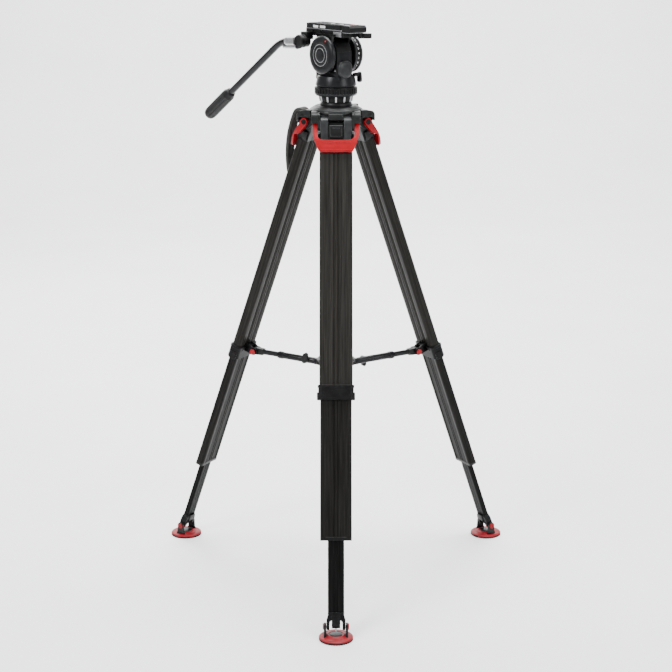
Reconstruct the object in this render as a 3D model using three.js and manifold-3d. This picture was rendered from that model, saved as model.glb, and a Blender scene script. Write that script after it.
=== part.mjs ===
// Video tripod with a fluid head: three telescoping carbon legs, a 75 mm bowl, a mid-level
// spreader, and a pan and tilt head with a camera plate and a pan bar.
// Millimetres, +Z up, floor at z = 0, front leg towards -Y.
import * as THREE from 'three';
import { mergeVertices } from 'three/addons/utils/BufferGeometryUtils.js';
import Module from 'manifold-3d';

const wasm = await Module();
wasm.setup();
const rad = THREE.MathUtils.degToRad;

// ---------------------------------------------------------------- driving dimensions
const PAN_Y = 84;                  // the pan axis stands this far behind the origin
const GAP = 0.4;                   // running clearance between pieces
const [FINE, MEDIUM, COARSE] = [24, 12, 8];  // sides of a round piece

const LEG = { angle: 20.1, pivotR: 56, pivotZ: 1095.7 };
const HEAD_YAW = -141;             // the head looks towards front right

const UPPER = { w: 75, d: 25, corner: 7, web: 34, recess: 2, top: -46.5, bottom: -612 };
const MID = { w: 70.6, d: 20.6, corner: 5, web: 38.4, recess: 2, top: -399, bottom: -946 };
const LOWER = { w: 36.4, d: 13, corner: 4, top: -554, bottom: -1104 };
const WALL = 1.8;

const TRUNNION_R = 6.6;            // leg hinge pin
const CHEEK = { inner: 36.4, outer: 42.2, r: 17 };
const LEVER = { inner: 42.8, outer: 52.8, eye: 9, y0: 15.6, y1: 21, bottom: -68, waist: 38.5 };
const COLLAR = { top: -598, bottom: -632, ear: 43 };
const LUG = { y: 38.2, z: -602, r: 9, inner: 7.2, outer: 13 };

const SPREADER = { hubR: 42, hubDrop: 4.2, rodR: 6.4, sleeveR: 8, sleeveStart: 66.5, eye: 5 };
const PAD = { s: 1135, r: 38.5, pinX: 22 };

const BOWL = { z: 1133, r: 37.5, outer: 46, rim: 46 };
const PAN = { base: 1155.6, neckR: 41, ringR: 49.5, ringTop: 1175.4, top: 1178, drumR: 47, drumTop: 1196 };
const TILT = { z: 1249, bodyR: 38, left: 27.5, right: -16, axleR: 8, discR: 44, outer: 47.5 };
const PLATFORM = { w: 49, rear: -80, front: 80, z0: 1290, z1: 1305, top: 1318, plateFront: 50 };
const BAR = { x: 54, y: -68, z: 1277, r: 8, bendY: -135, bendZ: 1273.5, endY: -436, endZ: 1072 };
const GRIP = { r: 15.5, length: 118 };

// ---------------------------------------------------------------- materials
const material = (color, roughness, metalness = 0) =>
  new THREE.MeshStandardMaterial({ color, roughness, metalness });
const MATERIALS = {
  carbon: () => material(0x4a4946, 0.38, 0.1),
  black: () => material(0x17181a, 0.55),
  satin: () => material(0x3c3e40, 0.4, 0.5),
  red: () => material(0xc8202a, 0.35),
  crimson: () => material(0xb00a26, 0.5),
  handle: () => material(0x66665f, 0.7),
  alloy: () => material(0xb4b6b8, 0.35, 0.9),
  rubber: () => material(0x1b1b1c, 0.85),
};

// ---------------------------------------------------------------- solids
const UNIT = {
  x: new THREE.Vector3(1, 0, 0), y: new THREE.Vector3(0, 1, 0), z: new THREE.Vector3(0, 0, 1),
};

function solid(geometry) {
  const g = geometry.clone();
  g.deleteAttribute('normal');
  g.deleteAttribute('uv');
  const merged = mergeVertices(g, 1e-4);
  const verts = merged.attributes.position.array;
  const tris = [];
  let volume = 0;
  const p = (i) => new THREE.Vector3().fromArray(verts, 3 * i);
  for (let i = 0; i < merged.index.count; i += 3) {
    const [a, b, c] = [0, 1, 2].map((k) => merged.index.getX(i + k));
    if (a === b || b === c || c === a) continue;
    volume += p(a).dot(p(b).cross(p(c)));
    tris.push(a, b, c);
  }
  if (volume < 0) tris.reverse();
  const vertProperties = Float32Array.from(verts);
  return new wasm.Manifold(
    new wasm.Mesh({ numProp: 3, vertProperties, triVerts: Uint32Array.from(tris) }));
}

function geometryOf(manifold) {
  const mesh = manifold.getMesh();
  const g = new THREE.BufferGeometry();
  g.setAttribute('position', new THREE.BufferAttribute(mesh.vertProperties, mesh.numProp));
  g.setIndex(new THREE.BufferAttribute(mesh.triVerts, 1));
  g.computeVertexNormals();
  return g;
}

const box = (x0, x1, y0, y1, z0, z1) => solid(
  new THREE.BoxGeometry(x1 - x0, y1 - y0, z1 - z0)
    .translate((x0 + x1) / 2, (y0 + y1) / 2, (z0 + z1) / 2));

function bar(axis, r, from, to, [u, v], sides = MEDIUM, r2 = r) {
  const g = new THREE.CylinderGeometry(r2, r, to - from, sides);
  if (axis === 'x') g.rotateZ(-Math.PI / 2).translate((from + to) / 2, u, v);
  if (axis === 'y') g.translate(u, (from + to) / 2, v);
  if (axis === 'z') g.rotateX(Math.PI / 2).translate(u, v, (from + to) / 2);
  return solid(g);
}

// Revolves [radius, height] points about the Z axis.
function turned(points) {
  const profile = points.map(([r, z]) => new THREE.Vector2(r, z));
  return solid(new THREE.LatheGeometry(profile, FINE).rotateX(Math.PI / 2));
}

// A polygon of [u, v] points, extruded. 'x' gives (y, z) points, 'y' gives (x, z), 'z' gives (x, y).
function slab(axis, points, from, to) {
  const shape = new THREE.Shape(points.map(([u, v]) => new THREE.Vector2(u, v)));
  const g = new THREE.ExtrudeGeometry(shape, { depth: to - from, bevelEnabled: false });
  g.translate(0, 0, from);
  if (axis === 'x') g.applyMatrix4(new THREE.Matrix4().makeBasis(UNIT.y, UNIT.z, UNIT.x));
  if (axis === 'y') g.applyMatrix4(new THREE.Matrix4().makeBasis(UNIT.x, UNIT.z, UNIT.y));
  return solid(g);
}

const join = (...parts) => parts.reduce((a, b) => a.add(b));
const cut = (base, ...tools) => tools.reduce((a, b) => a.subtract(b), base);
const mirrorX = (make) => join(make(1), make(-1));
const span = (side, near, far) => (side > 0 ? [near, far] : [-far, -near]);

function node(parent, name, slot, manifold) {
  const mesh = new THREE.Mesh(geometryOf(manifold), MATERIALS[slot]());
  mesh.name = name;
  parent.add(mesh);
  return mesh;
}

// ---------------------------------------------------------------- leg profile
// A wide flat tube: two rounded lobes with a shallow web between them on both faces.
function lobedOutline(w, d, corner, web, recess) {
  const points = [];
  const arc = (cx, cy, start) => {
    for (let i = 0; i <= 2; i++) {
      const a = start + (i * Math.PI) / 4;
      points.push([cx + corner * Math.cos(a), cy + corner * Math.sin(a)]);
    }
  };
  const [x, y, slope] = [w / 2 - corner, d / 2 - corner, recess * 1.2];
  arc(x, y, 0);
  points.push([web / 2 + slope, d / 2], [web / 2, d / 2 - recess]);
  points.push([-web / 2, d / 2 - recess], [-web / 2 - slope, d / 2]);
  arc(-x, y, Math.PI / 2);
  arc(-x, -y, Math.PI);
  points.push([-web / 2 - slope, -d / 2], [-web / 2, recess - d / 2]);
  points.push([web / 2, recess - d / 2], [web / 2 + slope, -d / 2]);
  arc(x, -y, (3 * Math.PI) / 2);
  return points;
}

// The outline of tube t, moved outwards by a distance (inwards when it is negative).
const grown = (t, by) =>
  lobedOutline(t.w + 2 * by, t.d + 2 * by, t.corner + by, t.web - 2 * by, t.recess);

function roundedOutline(w, d, corner) {
  const points = [];
  [[1, 1], [-1, 1], [-1, -1], [1, -1]].forEach(([sx, sy], k) => {
    for (let i = 0; i <= 2; i++) {
      const a = (k * Math.PI) / 2 + (i * Math.PI) / 4;
      points.push([
        sx * (w / 2 - corner) + corner * Math.cos(a),
        sy * (d / 2 - corner) + corner * Math.sin(a)]);
    }
  });
  return points;
}

// ---------------------------------------------------------------- leg pieces (leg frame)
// In the leg frame the hinge pin lies on X, the leg runs down -Z and -Y is the outer face.
function legHead() {
  const lobes = bar('x', CHEEK.r, -36, 36, [0, 0], FINE);
  const neck = UPPER.top + 0.5;
  const shank = slab('y', [[-36, 0], [-36, -14], [-33, neck], [33, neck], [36, -14], [36, 0]], -15, 15);
  const slot = box(-17.5, 17.5, -20, 20, -9, 20);
  const pin = bar('x', TRUNNION_R, -53.6, 53.6, [0, 0]);
  const plug = slab('z', roundedOutline(67, 15.4, 3), -80, -44);
  return join(cut(join(lobes, shank), slot), pin, plug);
}

function upperTube() {
  const outer = slab('z', grown(UPPER, 0), UPPER.bottom, UPPER.top);
  return cut(outer, slab('z', grown(UPPER, -WALL), UPPER.bottom - 1, UPPER.top + 1));
}

// The lower tube slides in the middle bore; the lobe on each side of it is hollow down to a floor.
function midTube() {
  const outer = slab('z', grown(MID, 0), MID.bottom, MID.top);
  const boreOutline = roundedOutline(LOWER.w + 2 * GAP, LOWER.d + 2 * GAP, LOWER.corner);
  const bore = slab('z', boreOutline, MID.bottom - 1, MID.top + 1);
  const lobes = mirrorX((s) => {
    const [x0, x1] = span(s, 22, 32);
    return box(x0, x1, -6, 6, MID.bottom + 12, MID.top + 1);
  });
  return cut(outer, bore, lobes);
}

function lowerTube() {
  const outer = slab('z', roundedOutline(LOWER.w, LOWER.d, LOWER.corner), LOWER.bottom, LOWER.top);
  const bore = roundedOutline(LOWER.w - 6, LOWER.d - 5, 2);
  return cut(outer, slab('z', bore, LOWER.bottom - 1, LOWER.top + 1));
}

function midCollar() {
  const shell = slab('z', roundedOutline(80, 30, 9), COLLAR.bottom, COLLAR.top);
  const ears = slab('z', roundedOutline(2 * COLLAR.ear, 20, 4), COLLAR.bottom, COLLAR.bottom + 17);
  const cheeks = mirrorX((s) => {
    const [x0, x1] = span(s, LUG.inner, LUG.outer);
    const web = box(x0, x1, 13, LUG.y, LUG.z - 9, LUG.z + LUG.r);
    return join(web, bar('x', LUG.r, x0, x1, [LUG.y, LUG.z]));
  });
  const hole = bar('x', 5.4, -20, 20, [LUG.y, LUG.z]);
  const upper = slab('z', grown(UPPER, GAP), UPPER.bottom - GAP, COLLAR.top + 1);
  const lower = slab('z', grown(MID, GAP), COLLAR.bottom - 1, UPPER.bottom);
  return cut(join(shell, ears, cheeks), hole, upper, lower);
}

// A U-shaped lever: its front outline and its side profile, where they meet.
function brakeLever() {
  const { outer, inner, waist, bottom } = LEVER;
  const inside = [[inner, 12], [inner, -22], [41, -32], [37, -38], [32, -40.5]];
  const outside = [[waist, bottom], [46, -50], [outer, -24], [outer, 12]];
  const flipped = (points) => points.map(([x, z]) => [-x, z]).reverse();
  const front = slab('y', [...inside, ...flipped(inside), ...flipped(outside), ...outside], -30, 20);
  const top = bar('x', LEVER.eye, -60, 60, [0, 0], FINE);
  const spine = [[-8, 4], [7, -5], [-3, -29], [-LEVER.y0, -37.5], [-LEVER.y0, -70], [-LEVER.y1, -70]];
  const side = slab('x', [...spine, [-LEVER.y1, -50], [-17, -30]], -60, 60);
  return cut(join(top, side).intersect(front), bar('x', TRUNNION_R + GAP, -60, 60, [0, 0]));
}

const angleLatch = () => slab('x',
  [[-15.4, -6], [-15.4, -36], [-19.4, -36], [-20, -34], [-20, -8], [-19, -6]], -15.8, 15.8);

function footFork() {
  const block = slab('z', roundedOutline(26, 22, 5), -1122, LOWER.bottom - GAP);
  const plug = slab('z', roundedOutline(27, 6.6, 2), -1105, -1080);
  const spike = bar('z', 2.5, -1146, -1121, [0, 0], MEDIUM, 5);
  const arms = mirrorX((s) => {
    const [x0, x1] = span(s, 16, 21);
    const [pin0, pin1] = span(s, 15.5, 28);
    const shoulder = [[8, -1106], [13, -1106], [21, -1124], [21, -PAD.s], [16, -PAD.s], [16, -1126]];
    const arm = slab('y', [...shoulder, [8, -1114]].map(([x, z]) => [x * s, z]), -7, 7);
    const pin = bar('x', 3.6, pin0, pin1, [0, -PAD.s], COARSE);
    return join(arm, bar('x', 7, x0, x1, [0, -PAD.s]), pin);
  });
  return join(block, plug, spike, arms);
}

// The pad is drawn level, about the pin on which it tips.
function footPad(pinZ) {
  const disc = turned([[0, 0], [PAD.r, 0], [PAD.r, 4], [PAD.r - 2, 8], [20, 11.5], [15, 12], [0, 9]]);
  const ears = mirrorX((s) => {
    const [x0, x1] = span(s, PAD.pinX, PAD.pinX + 5);
    return join(box(x0, x1, -8, 8, 6, pinZ), bar('x', 8, x0, x1, [0, pinZ]));
  });
  return cut(join(disc, ears), bar('x', 4, -40, 40, [0, pinZ], COARSE));
}

// ---------------------------------------------------------------- spreader (arm frame)
// In the arm frame the leg pin is at the origin and the arm runs along +Y to the hub.
function spreaderRod() {
  const eye = join(bar('x', 8.5, -6.8, 6.8, [0, 0]), box(-6.8, 6.8, 0, 24, -8, 8));
  return cut(join(eye, bar('y', SPREADER.rodR, 20, 118, [0, 0])), bar('x', 5.4, -10, 10, [0, 0]));
}

function spreaderSleeve(reach) {
  const ferrule = bar('y', SPREADER.sleeveR + 0.8, SPREADER.sleeveStart, 80, [0, 0]);
  const tube = bar('y', SPREADER.sleeveR, 79, 172, [0, 0]);
  const tongue = join(box(-SPREADER.eye, SPREADER.eye, 160, reach, -7, 7),
    bar('x', 7.5, -SPREADER.eye, SPREADER.eye, [reach, 0]));
  const bore = bar('y', SPREADER.rodR + GAP, SPREADER.sleeveStart - 1, 164, [0, 0]);
  const screw = bar('x', 3.4, 0, 12, [146, 0], COARSE);
  return cut(join(ferrule, tube, tongue), bore, screw, bar('x', 3.9, -10, 10, [reach, 0], COARSE));
}

function wingScrew() {
  const wing = slab('x', [[-9, 3], [-2, -5], [6, -5], [10, 6], [9, 18], [3, 20]], 9.2, 16);
  return join(bar('x', 3, 7.2, 10, [0, 0], COARSE), bar('x', 6.5, 9, 16, [0, 0]), wing);
}

// The pin the arm turns on: press the raised end to take the spreader off.
const spreaderButton = () => join(
  bar('x', 5, -16, 19, [0, 0]), bar('x', 7, -17, -13.6, [0, 0]), bar('x', 7, 15.6, 19, [0, 0]));

function spreaderHub() {
  const plate = turned([[0, 9.5], [46, 9.5], [46, 14], [40, 18], [18, 20], [18, 30], [14, 34], [0, 34]]);
  const cheeks = mirrorX((s) => {
    const [x0, x1] = span(s, 5.8, 9.8);
    return join(box(x0, x1, -SPREADER.hubR - 6.5, -SPREADER.hubR + 6.5, 0, 11),
      bar('x', 6.5, x0, x1, [-SPREADER.hubR, 0]));
  });
  return join(plate, cheeks, bar('x', 3.5, -7, 7, [-SPREADER.hubR, 0], COARSE));
}

// ---------------------------------------------------------------- carry handle (leg frame)
function carryHandle() {
  const route = [[26.3, -7], [30, 10], [43, 8], [51, -10], [50, -42], [44, -76], [32, -112], [17.4, -138]];
  const curve = new THREE.CatmullRomCurve3(route.map(([out, z]) => new THREE.Vector3(0, -out, z)));
  const corners = [[-15, -4], [15, -4], [15, 4], [-15, 4]].map((p) => new THREE.Vector2(...p));
  const sweep = { steps: 20, bevelEnabled: false, extrudePath: curve };
  const strap = solid(new THREE.ExtrudeGeometry(new THREE.Shape(corners), sweep));
  const foot = box(-15, 15, -20, -12.9, -146, -128);
  const bridge = slab('x', [[-24, -14], [-32, -10], [-34, 2], [-29, 8], [-24, 4]], -34, 34);
  const legs = mirrorX((s) => {
    const [x0, x1] = span(s, 19, 34);
    return box(x0, x1, -25, -15.4, -14, -2);
  });
  const clear = bar('x', 17.6, -40, 40, [0, 0], FINE);
  return cut(join(strap, foot, bridge, legs), clear, box(-40, 40, -12.9, 20, -200, 40));
}

// ---------------------------------------------------------------- crown and bowl
function spherePoints(r, from, to, steps) {
  return Array.from({ length: steps + 1 }, (_, i) => {
    const a = rad(from + ((to - from) * i) / steps);
    return [r * Math.sin(a), -r * Math.cos(a)];
  });
}

// One leg mount: a fork of two cheeks, and the lug that fills the slot in the leg head.
function crownArm() {
  const y = -LEG.pivotR;
  const side = mirrorX((s) => {
    const [x0, x1] = span(s, CHEEK.inner, CHEEK.outer);
    const [t0, t1] = span(s, 16, CHEEK.inner + 1);
    const top = [[y - CHEEK.r, LEG.pivotZ], [y - 13, 1119], [-24, 1124]];
    const web = slab('x', [...top, [-30, 1100], [y + 16, 1090]], x0, x1);
    const eye = bar('x', CHEEK.r, x0, x1, [y, LEG.pivotZ], FINE);
    const [c0, c1] = span(s, CHEEK.outer - 0.5, 56);
    const hood = [[-72, 1099], [-72, 1114], [-66, 1121], [-36, 1124], [-36, 1107], [-68, 1107]];
    const cap = slab('x', [...hood, [-68, 1099]], c0, c1);
    return join(web, eye, cap, box(t0, t1, -44, -30, 1115, 1122));
  });
  const lug = box(-17, 17, y - 14, -36, LEG.pivotZ + 8.6, 1121);
  return cut(join(side, lug), bar('x', TRUNNION_R + GAP, -60, 60, [y, LEG.pivotZ]));
}

function crown() {
  const inside = spherePoints(BOWL.r, 33, 90, 6);
  const outside = spherePoints(BOWL.outer, 84, 33, 5);
  const bowl = turned([...inside, [BOWL.rim, 0], ...outside, inside[0]]);
  const hollow = turned([[0, inside[0][1]], ...inside, [0, 0]]).translate([0, 0, BOWL.z]);
  const dome = turned([
    [41, 1115], [62, 1115], [62, 1121], [57, 1127], [46, 1133], [41, 1133], [41, 1115]]);
  const arms = [0, 120, 240].map((azimuth) => crownArm().rotate([0, 0, azimuth]));
  return cut(join(bowl.translate([0, 0, BOWL.z]), dome, ...arms), hollow);
}

// ---------------------------------------------------------------- ball, clamp and pan stage
function halfBall() {
  const skin = spherePoints(BOWL.r - GAP, 44, 100, 5);
  const ball = turned([[0, -27], ...skin, [34, 9], [40, 9], [40.5, 22.2], [0, 22.2]]);
  return join(ball, bar('z', 5, -86, -20, [0, 0])).translate([0, 0, BOWL.z]);
}

function clampCup() {
  const inner = spherePoints(BOWL.outer + 0.8, 0, 42, 4);
  const outer = spherePoints(BOWL.outer + 4, 42, 0, 4);
  const slot = box(-13, 13, -5.6, 5.6, -60, -40);
  return cut(turned([...inner, ...outer]), slot).translate([0, 0, BOWL.z]);
}

function tieDownKnob() {
  const body = turned([[0, -88], [14, -88], [17, -84], [15, -70], [9, -60], [9, -51], [0, -51]]);
  const flutes = Array.from({ length: 6 }, (_, i) => {
    const a = (i * Math.PI) / 3;
    return bar('z', 4, -95, -66, [20 * Math.cos(a), 20 * Math.sin(a)], COARSE);
  });
  return cut(body, ...flutes, bar('z', 5 + GAP, -95, -40, [0, 0])).translate([0, 0, BOWL.z]);
}

const panBase = () => turned([
  [0, PAN.base], [PAN.neckR, PAN.base], [PAN.neckR, 1176], [44, 1176], [44, PAN.top], [0, PAN.top]]);

function panDragRing() {
  const bore = PAN.neckR + 0.5;
  return turned([
    [bore, PAN.base], [46.5, PAN.base], [PAN.ringR, PAN.base + 4.4], [PAN.ringR, PAN.ringTop],
    [bore, PAN.ringTop], [bore, PAN.base]]);
}

// ---------------------------------------------------------------- tilt stage
function panHousing() {
  const drum = turned([
    [0, PAN.top + GAP], [PAN.drumR, PAN.top + GAP], [PAN.drumR, 1190], [PAN.drumR - 5, PAN.drumTop],
    [0, PAN.drumTop]]);
  const pedestal = slab('x', [[-40, 1192], [-37, TILT.z], [37, TILT.z], [40, 1192]], TILT.right, TILT.left);
  const barrel = bar('x', TILT.bodyR, TILT.right, TILT.left, [0, TILT.z], FINE);
  const foot = slab('x', [[-38, 1192], [-30, 1203], [30, 1203], [38, 1192]], -TILT.left, TILT.right + 1);
  const shield = join(
    bar('y', 20.5, 30, 41, [6, 1217.3], FINE), bar('y', 20.5, 41, 46, [6, 1217.3], FINE, 14));
  const body = join(drum, pedestal, barrel, foot, shield);
  return cut(body, bar('x', TILT.axleR + GAP, -60, 60, [0, TILT.z]));
}

const tiltAxle = () => bar('x', TILT.axleR, -46, 46, [0, TILT.z]);

function platform() {
  const half = PLATFORM.w / 2;
  const slabTop = box(-half, half, PLATFORM.rear, PLATFORM.plateFront + 5, PLATFORM.z0, PLATFORM.z1);
  const endPiece = box(-half, half, PLATFORM.plateFront + 1, PLATFORM.front, 1302, PLATFORM.top);
  const cheek = (x0, x1) => join(
    slab('x', [[-20, TILT.z], [-30, 1297], [30, 1297], [20, TILT.z]], x0, x1),
    bar('x', 20, x0, x1, [0, TILT.z], FINE));
  const cheeks = join(cheek(TILT.left + 0.5, 35), cheek(-23, TILT.right - 0.5));
  const shoulder = box(half - 2, 35, -30, 30, 1292, 1297);
  const bracket = join(
    box(half - 2, 40, BAR.y - 12, BAR.y + 12, 1280, 1298),
    bar('x', 14, 30, 40, [BAR.y, BAR.z], FINE));
  const groove = box(-14.4, 14.4, PLATFORM.rear - 1, PLATFORM.plateFront + 0.6, 1296.6, 1310);
  const button = box(-9.4, 9.4, 58.6, 71.4, 1311, 1320);
  const axle = bar('x', TILT.axleR + 0.3, -60, 60, [0, TILT.z]);
  return cut(join(slabTop, endPiece, cheeks, shoulder, bracket), groove, button, axle);
}

function cameraPlate() {
  const half = PLATFORM.w / 2;
  const { rear, plateFront, z1, top } = PLATFORM;
  const rearEdge = [[-half, rear + 3], [-half + 3, rear], [half - 3, rear], [half, rear + 3]];
  const plate = slab('z', [...rearEdge, [half, plateFront], [-half, plateFront]], z1 + 0.3, top);
  return join(plate, box(-14, 14, rear + 2, plateFront, 1297, z1 + 1));
}

const plateButton = () => box(-9, 9, 59, 71, 1314, PLATFORM.top + 1.6);

const plateLockLever = () => join(
  bar('z', 5.8, 1288, 1301, [-18, 66]),
  slab('z', [[-21, 61], [-14, 71], [-30, 84], [-38, 84], [-38, 77]], 1288, 1300));

// The bevelled discs on the two ends of the tilt axle.
function counterbalanceDisc() {
  const flat = bar('x', TILT.discR, 35.4, 44, [0, TILT.z], FINE);
  const bevel = bar('x', TILT.discR, 44, TILT.outer, [0, TILT.z], FINE, 40);
  return cut(join(flat, bevel), bar('x', TILT.axleR + GAP, 30, 46.4, [0, TILT.z]));
}

function tiltDragRing() {
  const flat = bar('x', 43, -44, -25, [0, TILT.z], FINE);
  const bevel = bar('x', 39, -TILT.outer, -44, [0, TILT.z], FINE, 43);
  return cut(join(flat, bevel), bar('x', TILT.axleR + GAP, -46.4, -20, [0, TILT.z]));
}

// A small brake lever on the housing's right side; it turns about its stem.
function smallLever(y, z) {
  const tab = slab('x', [[y - 5, z], [y + 5, z], [y + 7, z - 14], [y, z - 18], [y - 5, z - 14]], -48, -42);
  return join(bar('x', 4.5, -TILT.outer, -TILT.left - 0.3, [y, z]), tab);
}

// ---------------------------------------------------------------- pan bar
function rod3(from, to, r, sides = MEDIUM) {
  const [a, b] = [new THREE.Vector3(...from), new THREE.Vector3(...to)];
  const g = new THREE.CylinderGeometry(r, r, a.distanceTo(b), sides);
  const dir = b.clone().sub(a).normalize();
  g.applyQuaternion(new THREE.Quaternion().setFromUnitVectors(new THREE.Vector3(0, 1, 0), dir));
  const mid = a.clone().add(b).multiplyScalar(0.5);
  return solid(g.translate(mid.x, mid.y, mid.z));
}

const bend = [BAR.x, BAR.bendY, BAR.bendZ];
const barEnd = [BAR.x, BAR.endY, BAR.endZ];
const mix = (a, b, t) => a.map((v, i) => v + (b[i] - v) * t);
const onShaft = (t) => mix([BAR.x, BAR.y, BAR.z], bend, t); // from the clamp to the bend
const along = (t) => mix(bend, barEnd, t);                  // from the bend to the grip's end

function rosetteClamp() {
  const disc = bar('x', 15, 40 + GAP, 58, [BAR.y, BAR.z], FINE);
  const socket = rod3(onShaft(0.09), onShaft(0.62), 10);
  const bore = rod3(onShaft(0.25), onShaft(0.65), BAR.r + GAP);
  return cut(join(disc, socket), bore);
}

function panBar() {
  const knee = solid(new THREE.SphereGeometry(BAR.r, MEDIUM, COARSE)).translate(bend);
  return join(rod3(onShaft(0.27), bend, BAR.r), knee, rod3(bend, along(0.96), BAR.r));
}

function panBarGrip() {
  const total = Math.hypot(BAR.endY - BAR.bendY, BAR.endZ - BAR.bendZ);
  const start = along(1 - GRIP.length / total);
  return cut(rod3(start, barEnd, GRIP.r, FINE), rod3(start, along(0.97), BAR.r + 0.3));
}

// ---------------------------------------------------------------- assembly
const tripod = new THREE.Group();
const stand = new THREE.Group();
stand.position.y = PAN_Y;
tripod.add(stand);

const legCos = Math.cos(rad(LEG.angle));
const legSin = Math.sin(rad(LEG.angle));
const lugR = LEG.pivotR - LUG.z * legSin - LUG.y * legCos;
const lugZ = LEG.pivotZ + LUG.z * legCos - LUG.y * legSin;
const armReach = Math.hypot(lugR - SPREADER.hubR, SPREADER.hubDrop);
const armSlope = Math.asin(SPREADER.hubDrop / armReach);

function buildLeg(side, azimuth) {
  const yaw = new THREE.Group();
  yaw.rotation.z = rad(azimuth);
  stand.add(yaw);

  const leg = new THREE.Group();
  leg.position.set(0, -LEG.pivotR, LEG.pivotZ);
  leg.rotation.x = -rad(LEG.angle);
  yaw.add(leg);
  node(leg, `${side}_leg_head`, 'satin', legHead());
  node(leg, `${side}_upper_tube`, 'carbon', upperTube());
  node(leg, `${side}_collar`, 'black', midCollar());
  node(leg, `${side}_mid_tube`, 'carbon', midTube());
  node(leg, `${side}_lower_tube`, 'carbon', lowerTube());
  node(leg, `${side}_foot_fork`, 'black', footFork());
  node(leg, `${side}_brake_lever`, 'red', brakeLever());
  node(leg, `${side}_angle_latch`, 'black', angleLatch());
  if (side === 'left') node(leg, 'carry_handle', 'handle', carryHandle());

  const pin = new THREE.Group();
  pin.position.set(0, LUG.y, LUG.z);
  leg.add(pin);
  node(pin, `${side}_spreader_button`, 'red', spreaderButton());

  const padZ = LEG.pivotZ - PAD.s * legCos;
  const pad = new THREE.Group();
  pad.position.set(0, -LEG.pivotR - PAD.s * legSin, 0);
  yaw.add(pad);
  node(pad, `${side}_foot_pad`, 'crimson', footPad(padZ));

  const arm = new THREE.Group();
  arm.position.set(0, -lugR, lugZ);
  arm.rotation.x = -armSlope;
  yaw.add(arm);
  node(arm, `${side}_spreader_rod`, 'black', spreaderRod());
  node(arm, `${side}_spreader_sleeve`, 'black', spreaderSleeve(armReach));
  const screw = new THREE.Group();
  screw.position.y = 146;
  screw.rotation.x = side === 'right' ? Math.PI : 0;
  arm.add(screw);
  node(screw, `${side}_wing_screw`, 'black', wingScrew());
}

function buildHead() {
  node(stand, 'clamp_cup', 'black', clampCup());
  node(stand, 'half_ball', 'satin', halfBall());
  node(stand, 'tie_down_knob', 'black', tieDownKnob());
  node(stand, 'pan_base', 'black', panBase());
  node(stand, 'pan_drag_ring', 'black', panDragRing());

  const head = new THREE.Group();
  head.rotation.z = rad(HEAD_YAW);
  stand.add(head);
  node(head, 'pan_housing', 'satin', panHousing());
  node(head, 'tilt_axle', 'alloy', tiltAxle());
  node(head, 'platform', 'black', platform());
  node(head, 'camera_plate', 'black', cameraPlate());
  node(head, 'plate_release_button', 'red', plateButton());
  node(head, 'plate_lock_lever', 'black', plateLockLever());
  node(head, 'counterbalance_disc', 'black', counterbalanceDisc());
  node(head, 'tilt_drag_ring', 'black', tiltDragRing());
  node(head, 'pan_brake_lever', 'black', smallLever(30, 1203));
  node(head, 'tilt_brake_lever', 'black', smallLever(-30, 1203));
  node(head, 'rosette_clamp', 'alloy', rosetteClamp());
  node(head, 'pan_bar', 'black', panBar());
  node(head, 'pan_bar_grip', 'rubber', panBarGrip());
}

buildLeg('front', 0);
buildLeg('right', 120);
buildLeg('left', -120);
node(stand, 'crown', 'black', crown());
node(stand, 'spreader_hub', 'black', spreaderHub().translate([0, 0, lugZ - SPREADER.hubDrop]));
buildHead();

export default tripod;
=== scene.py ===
from math import asin, cos, hypot, pi, radians, sin

import bmesh
import bpy
from mathutils import Matrix, Vector


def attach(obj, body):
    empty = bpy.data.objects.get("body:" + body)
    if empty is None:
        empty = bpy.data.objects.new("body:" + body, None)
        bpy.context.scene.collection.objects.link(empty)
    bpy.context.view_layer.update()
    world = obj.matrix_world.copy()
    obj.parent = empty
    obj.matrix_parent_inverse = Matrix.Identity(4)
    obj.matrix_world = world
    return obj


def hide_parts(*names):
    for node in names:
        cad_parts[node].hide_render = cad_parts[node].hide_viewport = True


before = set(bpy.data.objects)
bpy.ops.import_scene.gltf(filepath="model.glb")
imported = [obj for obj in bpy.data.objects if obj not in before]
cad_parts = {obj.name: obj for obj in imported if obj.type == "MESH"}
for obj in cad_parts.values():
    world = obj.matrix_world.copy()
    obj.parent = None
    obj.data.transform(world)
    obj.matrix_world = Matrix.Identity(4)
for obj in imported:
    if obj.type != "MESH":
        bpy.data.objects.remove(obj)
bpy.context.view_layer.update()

MM = 0.001

# ------------------------------------------------------------------ dimensions
# Legs: the pan axis, the legs' lean and hinge, and the axle of the foot pad down the leg.
PAN_Y = 84.0
LEG_ANGLE, PIVOT_R, PIVOT_Z = radians(20.1), 56.0, 1095.7
AZIMUTH = {"front": 0, "right": 120, "left": -120}
PAD_S = 1135.0
LEVER_X, LEVER_FILLET = 42.8, 14.0
TUBE_JOIN, TUBE_END = -47.4, -612.0

# Spreader: the lug that carries an arm, and the hub's pivots.
LUG_Y, LUG_Z = 38.2, -602.0
HUB_R, HUB_DROP = 42.0, 4.2
ARM_R, SLEEVE_BORE, SLEEVE_MOUTH, WING_Y = 6.4, 6.9, 66.5, 146.0

# Head: the bowl's centre, the tilt axis, the turn of the head and the discs beside the housing.
BOWL_Z, BOWL_R, BALL_R = 1133.0, 46.0, 37.1
TILT_Z = 1249.0
HEAD_TURN = -141
DISC_R, DISC_FACE, AXLE_R = 44.0, 46.5, 8.6
RING_OUT, RING_TEETH = 49.4, 38
SHIELD_X, SHIELD_Z, SHIELD_R = 6.0, 1217.3, 20.5
PLATE_X, PLATE_TOP = 24.5, 1318.0

# Pan bar: its clamp, and the tube from the bend to the end of the grip.
BAR_X, BAR_Y, BAR_Z = 54.0, -68.0, 1277.0
BAR_R, BEND_REACH, GRIP_LENGTH = 8.0, 30.0, 118.0
BAR_BEND, BAR_END = (BAR_X, -135.0, 1273.5), (BAR_X, -436.0, 1072.0)

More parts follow.
